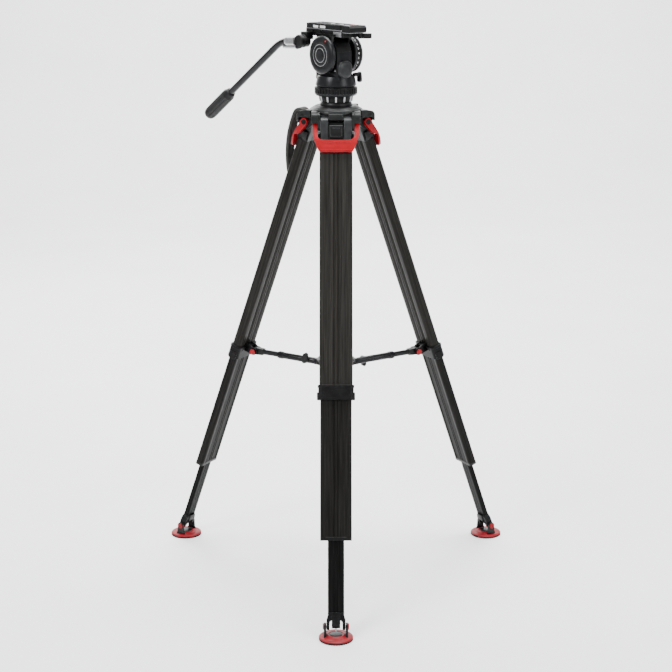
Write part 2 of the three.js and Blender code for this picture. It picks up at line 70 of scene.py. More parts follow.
LUG_RADIUS = PIVOT_R - LUG_Z * sin(LEG_ANGLE) - LUG_Y * cos(LEG_ANGLE)
LUG_HEIGHT = PIVOT_Z + LUG_Z * cos(LEG_ANGLE) - LUG_Y * sin(LEG_ANGLE)
REACH = hypot(LUG_RADIUS - HUB_R, HUB_DROP)
SLOPE = asin(HUB_DROP / REACH)


def shift(x, y, z):
    return Matrix.Translation((x * MM, y * MM, z * MM))


def turn(deg, axis):
    return Matrix.Rotation(radians(deg), 4, axis)


STAND = shift(0, PAN_Y, 0)
HEAD = STAND @ turn(HEAD_TURN, "Z")
YAW = {s: STAND @ turn(a, "Z") for s, a in AZIMUTH.items()}
LEG = {s: m @ shift(0, -PIVOT_R, PIVOT_Z) @ Matrix.Rotation(-LEG_ANGLE, 4, "X") for s, m in YAW.items()}
ARM = {s: m @ shift(0, -LUG_RADIUS, LUG_HEIGHT) @ Matrix.Rotation(-SLOPE, 4, "X") for s, m in YAW.items()}


# ------------------------------------------------------------------ materials
def new_material(name, dark, light, rough=(0.4, 0.55), metallic=0.0, coat=0.0, stretch=(1, 1, 1),
                 patch=60, grain=1800, bump=0.15, specks=None, sheen=0.0, gloss=0.22):
    """A principled material: slow colour patches, a roughness spread and a fine bumped grain."""
    m = bpy.data.materials.new(name)
    m.use_nodes = True
    n, link = m.node_tree.nodes, m.node_tree.links.new
    shader = n["Principled BSDF"]
    shader.inputs["Metallic"].default_value = metallic
    shader.inputs["Coat Weight"].default_value = coat
    shader.inputs["Coat Roughness"].default_value = 0.18
    shader.inputs["Sheen Weight"].default_value = sheen
    shader.inputs["Specular IOR Level"].default_value = gloss
    where = n.new("ShaderNodeTexCoord")
    scale = n.new("ShaderNodeMapping")
    scale.inputs["Scale"].default_value = stretch
    link(where.outputs["Object"], scale.inputs["Vector"])
    slow = n.new("ShaderNodeTexNoise")
    slow.inputs["Scale"].default_value = patch
    slow.inputs["Detail"].default_value = 5
    link(scale.outputs["Vector"], slow.inputs["Vector"])
    fine = n.new("ShaderNodeTexNoise")
    fine.inputs["Scale"].default_value = grain
    fine.inputs["Detail"].default_value = 2
    link(scale.outputs["Vector"], fine.inputs["Vector"])
    ramp = n.new("ShaderNodeValToRGB")
    ramp.color_ramp.elements[0].position = 0.32
    ramp.color_ramp.elements[0].color = (*dark, 1)
    ramp.color_ramp.elements[1].position = 0.7
    ramp.color_ramp.elements[1].color = (*light, 1)
    link(slow.outputs["Fac"], ramp.inputs["Fac"])
    colour = ramp.outputs["Color"]
    if specks:
        dots = n.new("ShaderNodeTexVoronoi")
        dots.inputs["Scale"].default_value = 520
        link(where.outputs["Object"], dots.inputs["Vector"])
        small = n.new("ShaderNodeMath")
        small.operation = "LESS_THAN"
        small.inputs[1].default_value = 0.22
        link(dots.outputs["Distance"], small.inputs[0])
        mix = n.new("ShaderNodeMix")
        mix.data_type = "RGBA"
        link(small.outputs[0], mix.inputs["Factor"])
        link(colour, mix.inputs["A"])
        mix.inputs["B"].default_value = (*specks, 1)
        colour = mix.outputs["Result"]
    link(colour, shader.inputs["Base Color"])
    spread = n.new("ShaderNodeMapRange")
    spread.inputs["To Min"].default_value = rough[0]
    spread.inputs["To Max"].default_value = rough[1]
    link(slow.outputs["Fac"], spread.inputs["Value"])
    link(spread.outputs["Result"], shader.inputs["Roughness"])
    relief = n.new("ShaderNodeBump")
    relief.inputs["Strength"].default_value = bump
    relief.inputs["Distance"].default_value = 0.0002
    link(fine.outputs["Fac"], relief.inputs["Height"])
    link(relief.outputs["Normal"], shader.inputs["Normal"])
    return m


def carbon_material(name, dark, light):
    """Bare carbon: lengthwise fibre streaks with a faint twill."""
    m = new_material(name, dark, light, rough=(0.3, 0.46), stretch=(1, 1, 0.02),
                     patch=420, grain=2600, bump=0.25, gloss=0.04)
    n, link = m.node_tree.nodes, m.node_tree.links.new
    ramp = next(x for x in n if x.type == "VALTORGB")
    where = next(x for x in n if x.type == "TEX_COORD")
    twill = n.new("ShaderNodeTexWave")
    twill.wave_type = "BANDS"
    twill.bands_direction = "DIAGONAL"
    twill.inputs["Scale"].default_value = 180
    twill.inputs["Distortion"].default_value = 0.6
    link(where.outputs["Object"], twill.inputs["Vector"])
    mix = n.new("ShaderNodeMix")
    mix.data_type = "RGBA"
    mix.blend_type = "MULTIPLY"
    mix.inputs["Factor"].default_value = 0.28
    link(ramp.outputs["Color"], mix.inputs["A"])
    link(twill.outputs["Color"], mix.inputs["B"])
    link(mix.outputs["Result"], n["Principled BSDF"].inputs["Base Color"])
    return m


CARBON = carbon_material("carbon_upper", (0.0115, 0.0108, 0.0098), (0.03, 0.0283, 0.0256))
CARBON_MID = carbon_material("carbon_mid", (0.006, 0.0058, 0.0054), (0.017, 0.0164, 0.015))
CARBON_LOW = carbon_material("carbon_lower", (0.003, 0.003, 0.003), (0.008, 0.008, 0.0078))
BLACK = new_material("black_moulded", (0.0015, 0.0015, 0.0017), (0.004, 0.004, 0.0044), (0.32, 0.46),
                     bump=0.25)
SPECKLED = new_material("black_composite", (0.002, 0.002, 0.0022), (0.005, 0.005, 0.0053), (0.34, 0.5),
                        bump=0.35, specks=(0.02, 0.02, 0.02), gloss=0.12)
SATIN = new_material("satin_grey_paint", (0.02, 0.0212, 0.0222), (0.036, 0.0375, 0.0382), (0.26, 0.38),
                     metallic=0.35, bump=0.12)
CROWN_GREY = new_material("crown_grey_paint", (0.009, 0.0102, 0.0098), (0.017, 0.0185, 0.0178), (0.3, 0.44),
                          metallic=0.2, bump=0.2)
HEAD_GREY = new_material("head_grey_paint", (0.006, 0.0064, 0.007), (0.012, 0.0126, 0.0136), (0.24, 0.36),
                         metallic=0.3, bump=0.12)
RED = new_material("red_moulded", (0.24, 0.0004, 0.004), (0.32, 0.0008, 0.007), (0.28, 0.4), coat=0.1,
                   bump=0.08)
CRIMSON = new_material("crimson_rubber", (0.16, 0.0003, 0.004), (0.23, 0.0006, 0.007), (0.38, 0.52), bump=0.3)
SOLE = new_material("sole_rubber", (0.01, 0.01, 0.01), (0.022, 0.022, 0.022), (0.7, 0.9), bump=0.5)
STRAP = new_material("strap_rubber", (0.022, 0.0218, 0.0195), (0.036, 0.0355, 0.032), (0.5, 0.68), bump=0.5)
ALLOY = new_material("alloy_brushed", (0.36, 0.36, 0.37), (0.52, 0.52, 0.53), (0.24, 0.4), metallic=1.0,
                     stretch=(0.06, 1, 1), patch=300, bump=0.2)
STEEL = new_material("steel_bolts", (0.5, 0.5, 0.51), (0.66, 0.66, 0.67), (0.2, 0.34), metallic=1.0, bump=0.1)
TUBE_BLACK = new_material("bar_anodised", (0.005, 0.005, 0.006), (0.012, 0.012, 0.013), (0.2, 0.3),
                          metallic=0.4, bump=0.06)
GRIP = new_material("grip_rubber", (0.0025, 0.0025, 0.003), (0.006, 0.006, 0.0065), (0.42, 0.6), bump=0.5)
# White for the printed drag figures, and also painted backdrop light in the plate's side slots.
WHITE = new_material("white_print_and_backdrop_light", (0.68, 0.68, 0.67), (0.8, 0.8, 0.79), (0.5, 0.6), bump=0.05)
RED_INK = new_material("red_ink", (0.5, 0.012, 0.014), (0.6, 0.016, 0.018), (0.5, 0.6), bump=0.05)
SPIRIT = new_material("level_fluid", (0.35, 0.5, 0.08), (0.5, 0.65, 0.12), (0.05, 0.08), coat=1.0, bump=0.0)


# ------------------------------------------------------------------ meshes
def axes(axis, a, u, v):
    """A point at a along an axis and (u, v) across it: x gives (y, z), y gives (x, z), z gives (x, y)."""
    return {"x": (a, u, v), "y": (u, a, v), "z": (u, v, a)}[axis]


class Shell:
    """Closed shells in millimetres, gathered into one mesh."""

    def __init__(self):
        self.bm = bmesh.new()

    def loft(self, rings, loop=False):
        """Joins rings of points; a ring of one point is a tip. Open ends are capped."""
        rows = [[self.bm.verts.new(p) for p in ring] for ring in rings]
        pairs = list(zip(rows, rows[1:])) + ([(rows[-1], rows[0])] if loop else [])
        for a, b in pairs:
            n = max(len(a), len(b))
            for i in range(n):
                j = (i + 1) % n
                quad = [a[i % len(a)], a[j % len(a)], b[j % len(b)], b[i % len(b)]]
                self.bm.faces.new(list(dict.fromkeys(quad)))
        if not loop:
            for row in (rows[0], rows[-1]):
                if len(row) > 2:
                    self.bm.faces.new(row)
        return self

    def add(self, other):
        """Takes over the shells of another."""
        mesh = bpy.data.meshes.new("part")
        other.bm.to_mesh(mesh)
        self.bm.from_mesh(mesh)

    def prism(self, axis, outline, start, end):
        return self.loft([[axes(axis, station, u, v) for u, v in outline] for station in (start, end)])

    def box(self, x0, x1, y0, y1, z0, z1):
        return self.prism("z", [(x0, y0), (x1, y0), (x1, y1), (x0, y1)], z0, z1)

    def turned(self, axis, profile, at=(0, 0), sides=64, loop=False):
        """Revolves (radius, station) points about an axis through at."""
        rings = []
        for r, a in profile:
            angles = steps_round(sides) if r else [0.0]
            rings.append([axes(axis, a, at[0] + r * cos(t), at[1] + r * sin(t)) for t in angles])
        return self.loft(rings, loop)

    def rod(self, axis, r, start, end, at=(0, 0), sides=48, edge=0.0):
        """A round bar, its two ends chamfered by edge."""
        profile = [(r, start), (r, end)]
        if edge:
            profile = [(r - edge, start), (r, start + edge), (r, end - edge), (r - edge, end)]
        return self.turned(axis, profile, at, sides)

    def bolt(self, axis, r, start, end, at=(0, 0)):
        """A low screw head, its top at end."""
        shoulder = end - (end - start) * 0.2
        self.turned(axis, [(r, start), (r, shoulder), (r * 0.88, end), (r * 0.5, end)], at, 40)

    def sweep(self, path, outline, side):
        """Sweeps (u, v) points along a path; u runs along side, v across it."""
        path = [Vector(p) for p in path]
        side = Vector(side).normalized()
        rings = []
        for i, p in enumerate(path):
            ahead = (path[min(i + 1, len(path) - 1)] - path[max(i - 1, 0)]).normalized()
            out = ahead.cross(side).normalized()
            rings.append([tuple(p + side * u + out * v) for u, v in outline])
        return self.loft(rings)

    def tube(self, path, r, sides, side):
        return self.sweep(path, [(r * cos(t), r * sin(t)) for t in steps_round(sides)], side)


def steps_round(count):
    """Angles that divide a full turn."""
    return [2 * pi * i / count for i in range(count)]


def around(deg):
    """A function that turns a point about the Z axis."""
    c, d = cos(radians(deg)), sin(radians(deg))
    return lambda x, y, z: (x * c - y * d, x * d + y * c, z)


def arc(cx, cy, r, start, end, steps):
    return [(cx + r * cos(radians(start + (end - start) * i / steps)),
             cy + r * sin(radians(start + (end - start) * i / steps))) for i in range(steps + 1)]


def rounded(w, d, corner, steps=8):
    x, y = w / 2 - corner, d / 2 - corner
    return (arc(x, y, corner, 0, 90, steps) + arc(-x, y, corner, 90, 180, steps)
            + arc(-x, -y, corner, 180, 270, steps) + arc(x, -y, corner, 270, 360, steps))


def ribbed(w, d, corner, face, steps=8):
    """A flat tube whose two wide faces follow (x, inset) points, from the middle outwards."""
    half = [(x, d / 2 - inset) for x, inset in face]
    top = half[::-1] + [(-x, y) for x, y in half if x > 0]
    x, y = w / 2 - corner, d / 2 - corner
    return (arc(x, y, corner, 0, 90, steps) + top + arc(-x, y, corner, 90, 180, steps)
            + arc(-x, -y, corner, 180, 270, steps) + [(-a, -b) for a, b in top]
            + arc(x, -y, corner, 270, 360, steps))


def toothed(r, depth, teeth, duty=0.5):
    """A round outline with square grooves."""
    step = 2 * pi / teeth
    points = []
    for i in range(teeth):
        a = i * step
        for t, rr in ((0.0, r), (duty * 0.5, r), (duty, r), (duty + 0.06, r - depth), (0.94, r - depth)):
            points.append((rr * cos(a + t * step), rr * sin(a + t * step)))
    return points


def fluted(r, depth, flutes, sides, power=1.0):
    """A round outline with smooth flutes; depth is a share of the radius."""
    out = []
    for a in steps_round(sides):
        cut = r * (1 - depth * max(0, cos(flutes * a)) ** power)
        out.append((cut * cos(a), cut * sin(a)))
    return out


def piece(name, shell, material, matrix, body, replaces=(), bevel=0.5, segments=2, angle=32):
    """Makes the mesh object: bevelled edges, smooth shading, and what it rides on and stands for."""
    mesh = bpy.data.meshes.new(name)
    bmesh.ops.recalc_face_normals(shell.bm, faces=shell.bm.faces)
    bmesh.ops.scale(shell.bm, vec=(MM, MM, MM), verts=shell.bm.verts)
    shell.bm.to_mesh(mesh)
    shell.bm.free()
    mesh.polygons.foreach_set("use_smooth", [True] * len(mesh.polygons))
    mesh.set_sharp_from_angle(angle=radians(angle))
    obj = bpy.data.objects.new(name, mesh)
    bpy.context.scene.collection.objects.link(obj)
    obj.matrix_world = matrix
    mesh.materials.append(material)
    if bevel:
        mod = obj.modifiers.new("edges", "BEVEL")
        mod.width = bevel * MM
        mod.segments = segments
        mod.limit_method = "ANGLE"
        mod.angle_limit = radians(angle)
        mod.harden_normals = True
    bpy.context.view_layer.update()
    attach(obj, body)
    if replaces:
        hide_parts(*replaces)
    return obj


def lettering(name, text, size, material, matrix, body):
    """Raised figures, 0.25 mm thick."""
    curve = bpy.data.curves.new(name, "FONT")
    curve.body = text
    curve.size = size * MM
    curve.extrude = 0.12 * MM
    curve.align_x = "CENTER"
    curve.align_y = "CENTER"
    source = bpy.data.objects.new(name + "_source", curve)
    bpy.context.scene.collection.objects.link(source)
    bpy.context.view_layer.update()
    mesh = bpy.data.meshes.new_from_object(source.evaluated_get(bpy.context.evaluated_depsgraph_get()))
    bpy.data.objects.remove(source)
    obj = bpy.data.objects.new(name, mesh)
    bpy.context.scene.collection.objects.link(obj)
    mesh.materials.clear()
    mesh.materials.append(material)
    obj.matrix_world = matrix
    bpy.context.view_layer.update()
    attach(obj, body)
    return obj


def intersection(a, b):
    """The shell that two closed shells share."""
    objects = []
    for k, shell in enumerate((a, b)):
        bmesh.ops.recalc_face_normals(shell.bm, faces=shell.bm.faces)
        mesh = bpy.data.meshes.new(f"operand_{k}")
        shell.bm.to_mesh(mesh)
        objects.append(bpy.data.objects.new(f"operand_{k}", mesh))
        bpy.context.scene.collection.objects.link(objects[-1])
    mod = objects[0].modifiers.new("meet", "BOOLEAN")
    mod.operation, mod.solver, mod.object = "INTERSECT", "EXACT", objects[1]
    bpy.context.view_layer.update()
    mesh = bpy.data.meshes.new_from_object(objects[0].evaluated_get(bpy.context.evaluated_depsgraph_get()))
    out = Shell()
    out.bm.from_mesh(mesh)
    for obj in objects:
        bpy.data.objects.remove(obj)
    return out


def span(side, near, far):
    return (near, far) if side > 0 else (-far, -near)


# ------------------------------------------------------------------ legs
UPPER_FACE = [(0, 0.8), (3.2, 0.8), (3.5, 2.7), (5.7, 2.7), (6.0, 0.9), (9.2, 0.9), (10.4, 1.9),
              (13, 1.7), (17, 0.4), (22, 0.0), (27, 0.2)]
MID_FACE = [(0, 0.6), (2.4, 0.6), (2.7, 2.4), (4.9, 2.4), (5.2, 0.5), (14, 0.8), (20, 0.7), (23.6, 0.6),
            (24.3, 0.0), (27, 0.0)]


def leg_head(side, leg):
    s = Shell()
    lobe = ([(15, -8), (17, 0)] + arc(0, 0, 17, 0, 180, 20)[1:-1]
            + [(-17, 0), (-16.4, -12), (-15, -46), (14.5, -46), (16, -18)])
    for sgn in (1, -1):
        front_view = [(17.8 * sgn, 17), (36 * sgn, 17), (36 * sgn, -14), (33 * sgn, -46), (17.8 * sgn, -46)]
        block = Shell().prism("y", front_view, -20, 20)
        s.add(intersection(Shell().prism("x", lobe, *span(sgn, 17, 37)), block))
    piece(f"{side}_head_block", s, SATIN, leg, f"{side}_leg", [f"{side}_leg_head"], bevel=1.6, segments=4)
    core = Shell()
    core.box(-18, 18, -14.2, 14.2, -46, -9)
    core.box(-33, 33, -7.6, 7.6, -80, -44)
    core.prism("z", rounded(74.6, 24.6, 7), -47.6, -46)
    web = [(-41, -24), (-41, -37), (-36, -46), (36, -46), (41, -37), (41, -24), (34, -20), (-34, -20)]
    core.prism("y", web, 1, 12)
    piece(f"{side}_head_core", core, BLACK, leg, f"{side}_leg", bevel=0.5)
    pin = Shell()
    pin.rod("x", 6.6, -53.2, 53.2, edge=0.4)
    for sgn in (1, -1):
        pin.rod("x", 3.0, *span(sgn, 53.0, 53.6), edge=0.2, sides=6)
    piece(f"{side}_hinge_pin", pin, BLACK, leg, f"{side}_leg", bevel=0)


def upper_tube(side, leg):
    s = Shell()
    s.prism("z", ribbed(75, 25, 9, UPPER_FACE), TUBE_END, TUBE_JOIN)
    piece(f"{side}_tube_upper", s, CARBON, leg, f"{side}_leg", [f"{side}_upper_tube"], bevel=0.15, angle=50)


def mid_tube(side, leg):
    s = Shell()
    s.prism("z", ribbed(70.6, 20.6, 6, MID_FACE), -940, -399)
    piece(f"{side}_tube_mid", s, CARBON_MID, leg, f"{side}_mid", [f"{side}_mid_tube"], bevel=0.15, angle=50)
    cap = Shell()
    cap.prism("z", rounded(70.6, 20.6, 5), -946, -938)
    piece(f"{side}_mid_bush", cap, BLACK, leg, f"{side}_mid", bevel=0.8)


def lower_tube(side, leg):
    s = Shell()
    face = [(0, 0.0), (3.4, 0.0), (3.7, 0.7), (4.6, 0.7), (4.9, 0.0), (13, 0.0)]
    s.prism("z", ribbed(36.4, 13, 4, face), -1104, -554)
    piece(f"{side}_tube_lower", s, CARBON_LOW, leg, f"{side}_low", [f"{side}_lower_tube"], bevel=0.15,
          angle=50)


def collar(side, leg):
    s = Shell()
    s.prism("z", rounded(80, 30, 9), -632, -598)
    s.prism("z", rounded(86, 20, 5), -632, -615)
    s.prism("z", rounded(82.5, 31.5, 9.5), -604, -598.6)
    for sgn in (1, -1):
        x0, x1 = span(sgn, 7.4, 13)
        yoke = [(13, -611), (13, -590.5), (24, -590.5)] + arc(LUG_Y, LUG_Z, 9, 120, -90, 14) + [(26, -611)]
        s.prism("x", yoke, x0, x1)
    s.box(-13, 13, 13, 25, -611, -593)
    piece(f"{side}_collar_body", s, SPECKLED, leg, f"{side}_leg", [f"{side}_collar"], bevel=1.0, segments=3)
    bolts = Shell()
    for sgn in (1, -1):
        for z in (-620, -626.5):
            bolts.bolt("y", 2.6, 9.6, 11.2, (sgn * 38.5, z))
    for x in (-22, 22):
        bolts.bolt("y", 2.6, 14.6, 15.9, (x, -610))
    piece(f"{side}_collar_bolts", bolts, BLACK, leg, f"{side}_leg", bevel=0.15)


def brake_lever(side, leg):
    """A U-shaped lever: what its front outline and its side profile have in common."""
    inside = [(LEVER_X, 12)] + arc(LEVER_X - LEVER_FILLET, -26.5, LEVER_FILLET, 0, -90, 12)
    outside = [(32.4, -69), (36, -68.4), (39.4, -65.6), (42.6, -59.5), (47.2, -47), (50.8, -35), (52.5, -26),
               (52.8, -19), (52.8, 12)]
    left = [(-x, z) for x, z in inside[::-1]]
    right = [(-x, z) for x, z in outside[::-1]]
    front = Shell().prism("y", inside + left + right + outside, -30, 20)
    profile = (arc(0, 0, 9, 35, 180, 14) + [(-10.5, -8), (-14.5, -22), (-18.6, -36), (-21, -50), (-21, -66.5),
               (-20, -69), (-15.6, -69), (-15.6, -37.5), (-8, -33), (-3, -29), (3, -16), (7, -5)])
    s = intersection(front, Shell().prism("x", profile, -60, 60))
    piece(f"{side}_lever_body", s, RED, leg, f"{side}_lever", [f"{side}_brake_lever"], bevel=1.5, segments=4,
          angle=38)
    lines = Shell()
    for z in (-47.4, -64.4):
        half = 34 + (-47 - z) * 0.12
        lines.box(-half, half, -21.5, -20.2, z - 0.7, z + 0.7)
    piece(f"{side}_lever_ridges", lines, RED, leg, f"{side}_lever", bevel=0.5, segments=3)


def angle_latch(side, leg):
    s = Shell()
    profile = [(-15.4, -6), (-15.4, -36), (-19.4, -36), (-20.4, -34), (-20.4, -9), (-19, -6)]
    s.prism("x", profile, -15.6, 15.6)
    piece(f"{side}_latch_body", s, BLACK, leg, f"{side}_latch", [f"{side}_angle_latch"], bevel=1.2,
          segments=3)
    frame_line = Shell()
    outer, inner = rounded(27, 25, 3), rounded(24.6, 22.6, 2.4)
    rings = [[(x, y, z - 21) for x, z in ring] for ring, y in
             ((outer, -20.2), (outer, -20.9), (inner, -20.9), (inner, -20.2))]
    frame_line.loft(rings, loop=True)
    for z in (-12, -15):
        frame_line.box(-9, 9, -20.9, -20.2, z - 0.6, z + 0.6)
    piece(f"{side}_latch_frame", frame_line, SATIN, leg, f"{side}_latch", bevel=0.2)


def foot(side, leg):
    s = Shell()
    s.prism("z", rounded(25, 21, 6), -1122, -1104.4)
    s.prism("z", rounded(37, 14.6, 4.5), -1109.5, -1104.4)
    for sgn in (1, -1):
        outline = [(6 * sgn, -1105), (13 * sgn, -1105), (18.5 * sgn, -1111), (21 * sgn, -1120)]
        outline += [(21 * sgn, -1135), (14.5 * sgn, -1135), (14 * sgn, -1125), (7 * sgn, -1119)]
        s.prism("y", outline, -8, 8)
        s.rod("x", 8, *span(sgn, 14.5, 21), at=(0, -PAD_S), edge=0.8)
    toggle = [(-8, -1108), (-10.4, -1112), (-10.4, -1126), (-8, -1135), (-4, -1139), (1, -1139), (4, -1134),
              (6, -1122), (6, -1108)]
    s.prism("x", toggle, -9.4, 9.4)
    piece(f"{side}_fork_body", s, SPECKLED, leg, f"{side}_low", [f"{side}_foot_fork"], bevel=1.0, segments=3)
    spike = Shell()
    spike.turned("z", [(0, -1146), (1.2, -1145.4), (3.4, -1138.4), (3.6, -1137), (3.6, -1130)], sides=32)
    piece(f"{side}_spike", spike, ALLOY, leg, f"{side}_low", bevel=0)
    pins = Shell()
    for sgn in (1, -1):
        pins.rod("x", 3.6, *span(sgn, 20, 27.8), at=(0, -PAD_S), edge=0.3)
    piece(f"{side}_fork_pins", pins, STEEL, leg, f"{side}_low", bevel=0)


def foot_pad(side):
    top = YAW[side] @ shift(0, -PIVOT_R - PAD_S * sin(LEG_ANGLE), 0)
    height = PIVOT_Z - PAD_S * cos(LEG_ANGLE)
    s = Shell()
    dish = [(0, 3.2), (36.6, 3.2), (38.5, 4.4), (38.2, 6.0), (36.4, 7.4), (31, 8.6), (29.6, 8.2), (24, 9.6),
            (19.5, 11.6), (17.6, 12.2), (15.6, 11.6), (13, 9.6), (0, 9)]
    s.turned("z", dish, sides=96)
    piece(f"{side}_pad_body", s, CRIMSON, top, f"{side}_pad", [f"{side}_foot_pad"], bevel=0.7, segments=3)
    ears = Shell()
    for sgn in (1, -1):
        ear = [(-13, 6), (-9.4, 15)] + arc(0, height, 8.6, 190, -10, 18) + [(9.4, 15), (13, 6)]
        ears.prism("x", ear, *span(sgn, 21.6, 27))
    ears.turned("z", [(0, 8), (15, 8), (15.4, 10), (14.6, 11.6), (13, 12.2), (0, 12.4)], sides=72)
    ears.box(-26, 26, -8, 8, 7, 10.4)
    piece(f"{side}_pad_ears", ears, BLACK, top, f"{side}_pad", bevel=0.8, segments=3)
    sole = Shell()
    sole.prism("z", toothed(38.2, 1.6, 40, 0.6), 0, 2.4)
    sole.turned("z", [(0, 2.2), (37.4, 2.2), (37.4, 3.4), (0, 3.4)], sides=72)
    piece(f"{side}_pad_sole", sole, SOLE, top, f"{side}_pad", bevel=0.4)
    boss = Shell()
    for sgn in (1, -1):
        boss.turned("x", [(7.2, 26.6 * sgn), (7.2, 28.4 * sgn), (6.2, 29.4 * sgn), (3.4, 29.4 * sgn),
                          (3.0, 28.6 * sgn), (0, 28.6 * sgn)], at=(0, height), sides=40)
    piece(f"{side}_pad_bosses", boss, CRIMSON, top, f"{side}_pad", bevel=0.2)


def carry_handle(leg):
    route = [(24.4, -13), (27.5, -2), (33, 8.4), (43, 8.6), (49.4, 1), (51.2, -14), (50.4, -42), (47.6, -62),
             (43, -82), (36, -104), (26.5, -126), (18.5, -141)]
    path = smooth_path([(0, -out, z) for out, z in route], 6)
    s = Shell()
    shape = [(15, -2.6), (15, 2.6), (13.6, 4)]
    for x in (9.4, 3.2, -3.2, -9.4):
        shape += [(x + 2.3, 4), (x + 1.7, 3.1), (x - 1.7, 3.1), (x - 2.3, 4)]
    shape += [(-13.6, 4), (-15, 2.6), (-15, -2.6), (-13.6, -4), (13.6, -4)]
    s.sweep(path, [(u, -v) for u, v in shape], (1, 0, 0))
    piece("carry_strap", s, STRAP, leg, "left_leg", ["carry_handle"], bevel=0.35, angle=40)
    shoulder = Shell()
    wedge = [(-24, -14), (-30.6, -12), (-33.4, -6), (-34, 1), (-32.4, 6), (-28.6, 8), (-24.6, 5)]
    shoulder.prism("x", wedge, -34, 34)
    piece("carry_shoulder", shoulder, STRAP, leg, "left_leg", bevel=2.0, segments=4)
    ends = Shell()
    ends.box(-15.4, 15.4, -20, -12.9, -147, -127)
    for sgn in (1, -1):
        x0, x1 = span(sgn, 19, 34)
        ends.box(x0, x1, -25, -15.4, -14, -2)
    piece("carry_strap_ends", ends, BLACK, leg, "left_leg", bevel=1.2, segments=3)
    screws = Shell()
    for x in (-26, 26):
        screws.bolt("y", 3, -32, -34.6, (x, -3))
    screws.bolt("y", 3, -19.6, -21, (0, -137))
    piece("carry_strap_screws", screws, STEEL, leg, "left_leg", bevel=0.15)


def smooth_path(points, steps):
    """Catmull-Rom through the points."""
    pts = [Vector(p) for p in points]
    pts = [2 * pts[0] - pts[1]] + pts + [2 * pts[-1] - pts[-2]]
    out = []
    for i in range(1, len(pts) - 2):
        a, b, c, d = pts[i - 1:i + 3]
        for k in range(steps):
            t = k / steps
            out.append(0.5 * (2 * b + (c - a) * t + (2 * a - 5 * b + 4 * c - d) * t ** 2
                              + (3 * b - a - 3 * c + d) * t ** 3))
    return out + [pts[-2]]


# ------------------------------------------------------------------ spreader
def spreader(side, leg, arm):
    button = Shell()
    button.rod("x", 5, -15, 18, (LUG_Y, LUG_Z))
    button.turned("x", [(6.4, -17), (7, -16.4), (7, -13.6), (5, -13.6)], (LUG_Y, LUG_Z), 48)
    button.turned("x", [(5, 15.6), (7, 15.6), (7, 18), (6.2, 19), (0, 19)], (LUG_Y, LUG_Z), 48)
    piece(f"{side}_button_body", button, RED, leg, f"{side}_button", [f"{side}_spreader_button"], bevel=0.3)
    rod = Shell()
    eye = arc(0, 0, 8.5, 90, 270, 20) + [(14, -8), (24, -7), (24, 7), (14, 8)]
    rod.prism("x", eye, -6.8, 6.8)
    rod.turned("y", [(7.6, 21), (7.6, 23.4), (6.8, 24.8), (ARM_R, 25.2), (ARM_R, 118)], sides=40)
    piece(f"{side}_rod_body", rod, BLACK, arm, f"{side}_rod", [f"{side}_spreader_rod"], bevel=0.6)
    sleeve = Shell()
    sleeve.turned("y", [(SLEEVE_BORE, SLEEVE_MOUTH), (8.4, SLEEVE_MOUTH), (8.8, 67.2), (8.8, 79.2), (8, 80.4),
                        (8, 168), (6, 173), (5, 173), (5, 160), (SLEEVE_BORE, 160)], sides=48, loop=True)
    sleeve.prism("x", arc(REACH, 0, 7.4, 90, -90, 18) + [(168, -7), (160, -6), (160, 6), (168, 7)], -5, 5)
    for y in (69.4, 72.4, 75.4):
        sleeve.turned("y", [(8.8, y), (9.1, y + 0.3), (9.1, y + 1.2), (8.8, y + 1.5)], sides=48)
    piece(f"{side}_sleeve_body", sleeve, TUBE_BLACK, arm, f"{side}_sleeve", [f"{side}_spreader_sleeve"],
          bevel=0.5)
    flip = turn(180, "X") if side == "right" else Matrix()
    wing = Shell()
    wing.rod("x", 3, 7.4, 10)
    wing.turned("x", [(6.0, 9), (6.6, 9.6), (6.6, 15.2), (6.0, 16), (0, 16)], sides=40)
    blade = [(-9, 3), (-6, -2.6), (-2, -5), (6, -5), (8.6, -1), (10, 6), (9.8, 13), (9, 17.4), (6, 20),
             (3, 20), (-2, 17), (-6, 10)]
    wing.prism("x", blade, 9.6, 15.4)
    piece(f"{side}_wing_body", wing, BLACK, arm @ shift(0, WING_Y, 0) @ flip, f"{side}_wing",
          [f"{side}_wing_screw"], bevel=1.6, segments=4)


def hub():
    at = STAND @ shift(0, 0, LUG_HEIGHT - HUB_DROP)
    s = Shell()
    s.turned("z", [(0, 9.5), (44, 9.5), (46, 11), (46, 13.4), (44.6, 14.8), (38, 17.6), (22, 19.6),
                   (18.4, 21), (18, 24), (18, 29), (16.4, 32.6), (12.5, 34), (0, 34)], sides=96)
    ear = [(-HUB_R - 6.5, 11), *arc(-HUB_R, 0, 6.5, 180, 360, 16), (-HUB_R + 9, 11)]
    for deg in (0, 120, 240):
        place = around(deg)
        for sgn in (1, -1):
            s.loft([[place(x, y, z) for y, z in ear] for x in span(sgn, 5.8, 9.8)])
    piece("hub_body", s, BLACK, at, "hub", ["spreader_hub"], bevel=0.7, segments=3)
    pins = Shell()
    for deg in (0, 120, 240):
        place = around(deg)
        pins.loft([[place(x, 3.4 * cos(a) - HUB_R, 3.4 * sin(a)) for a in steps_round(24)]
                   for x in (-10.4, 10.4)])
    piece("hub_pins", pins, BLACK, at, "hub", bevel=0.2)


